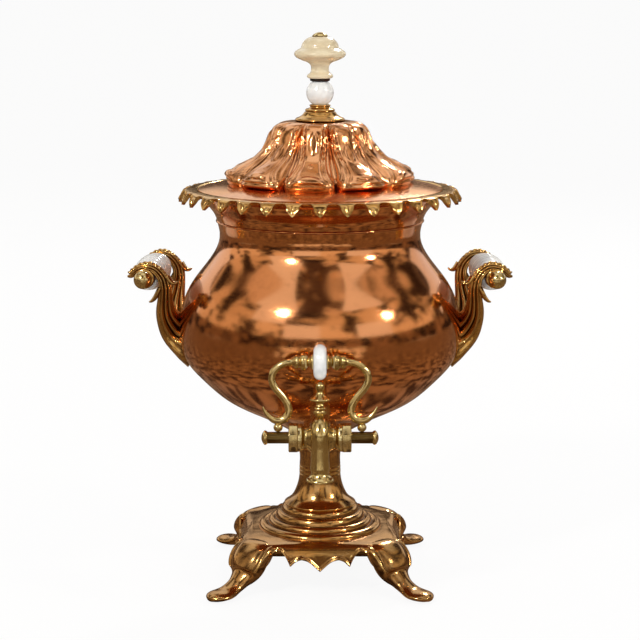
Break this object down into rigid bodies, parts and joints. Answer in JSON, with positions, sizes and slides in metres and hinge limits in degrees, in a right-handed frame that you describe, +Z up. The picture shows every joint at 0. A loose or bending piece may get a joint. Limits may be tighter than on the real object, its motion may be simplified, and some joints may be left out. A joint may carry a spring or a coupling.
{
  "type": "samovar tea urn",
  "caption": "Copper and brass tea urn on a square footed base, with lobed lid, ceramic knob and grips, and a brass plug tap with a scroll lever.",
  "frame": {"origin": "on the floor, at the centre of the plan of the whole urn with its tap; the urn's own axis is 21 mm behind it", "axes": "+Z up through the knob, -Y towards the tap, +X to the right of someone who faces the tap"},
  "size_m": [0.306, 0.269, 0.441],
  "materials": {
    "copper": "polished",
    "brass": "polished",
    "steel": "plain",
    "white_ceramic": "glazed",
    "cream_ceramic": "glazed",
    "leather": "oiled",
    "iron": "dark"
  },
  "bodies": {
    "vessel": {"base_plate": "copper", "foot_front_left": "copper", "foot_front_right": "copper", "foot_back_left": "copper", "foot_back_right": "copper", "pedestal_stem": "copper", "pedestal_stud": "brass", "pedestal_nut": "brass", "pedestal_washer": "brass", "vessel_bowl": "copper", "vessel_neck": "copper", "rim_border": "brass", "handle_bracket_left": "brass", "handle_bracket_right": "brass", "handle_grip_left": "white_ceramic", "handle_grip_right": "white_ceramic", "handle_rods": "steel", "handle_ball_nuts": "brass", "tap_body": "brass", "tap_seal": "leather", "tap_back_nut": "brass", "tap_gland_rings": "brass", "tap_gland_nuts": "brass", "tap_finial": "brass", "heater_sleeve": "copper"},
    "lid": {"lid_dome": "copper", "lid_bezel": "copper", "knob_collar": "brass", "knob_ball": "white_ceramic", "knob_washer": "brass", "knob_button": "cream_ceramic", "knob_top_nut": "brass", "knob_rod": "steel", "knob_inner_nut": "brass"},
    "lever": {"tap_plug": "brass", "lever_arms": "brass", "lever_cross_rod": "brass", "lever_disc": "white_ceramic"},
    "heater_cap": {"heater_cover": "copper"},
    "billet": {"heater_billet": "iron"}
  },
  "joints": [
    {"name": "lid_lift", "type": "slide", "parent": "vessel", "child": "lid", "axis": [0, 0, 1], "range_m": [0, 0.12]},
    {"name": "tap_turn", "type": "hinge", "parent": "vessel", "child": "lever", "pos_m": [0, -0.10895, 0.144], "axis": [1, 0, 0], "range_deg": [0, 90]},
    {"name": "cap_lift", "type": "slide", "parent": "vessel", "child": "heater_cap", "axis": [0, 0, 1], "range_m": [0, 0.05]},
    {"name": "billet_lift", "type": "slide", "parent": "vessel", "child": "billet", "axis": [0, 0, 1], "range_m": [0, 0.02]}
  ]
}
